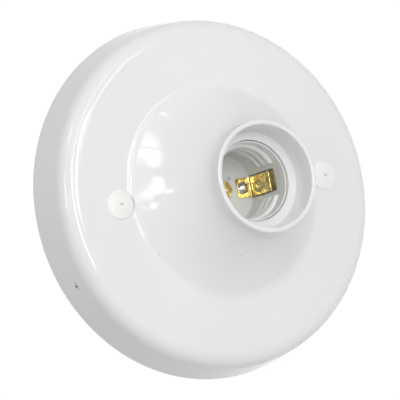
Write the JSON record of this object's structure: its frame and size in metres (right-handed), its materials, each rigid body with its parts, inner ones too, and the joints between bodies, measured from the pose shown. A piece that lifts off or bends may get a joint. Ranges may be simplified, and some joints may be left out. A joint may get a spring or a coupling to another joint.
{
  "type": "ceiling lampholder",
  "caption": "Round white moulded ceiling lampholder: flat canopy with rounded rim, bell and collar around a threaded lamp socket with brass contacts and domed screw covers.",
  "frame": {"origin": "centre of the back rim, in the plane that meets the ceiling or the box", "axes": "+Z out of the socket mouth, +X through the side contact and the right-hand screw cover, +Y up in the picture"},
  "size_m": [0.1302, 0.1302, 0.0473],
  "materials": {
    "canopy_white": "glossy injection-moulded white",
    "core_white": "moulded white, slightly greyer",
    "cover_white": "soft white, satin",
    "brass": "rolled brass strip, lightly tarnished",
    "nickel_plate": "nickel plated",
    "zinc_steel": "zinc plated steel"
  },
  "bodies": {
    "root": {"canopy": "canopy_white", "socket_core": "core_white", "left_screw_cover": "cover_white", "right_screw_cover": "cover_white", "side_contact": "brass", "centre_contact": "brass", "side_terminal_plate": "brass", "centre_terminal_plate": "brass", "side_contact_rivet": "nickel_plate", "centre_contact_rivet": "nickel_plate", "side_terminal_screw": "nickel_plate", "centre_terminal_screw": "nickel_plate", "side_wire_washer": "zinc_steel", "centre_wire_washer": "zinc_steel", "upper_core_screw": "zinc_steel", "lower_core_screw": "zinc_steel"}
  },
  "joints": []
}
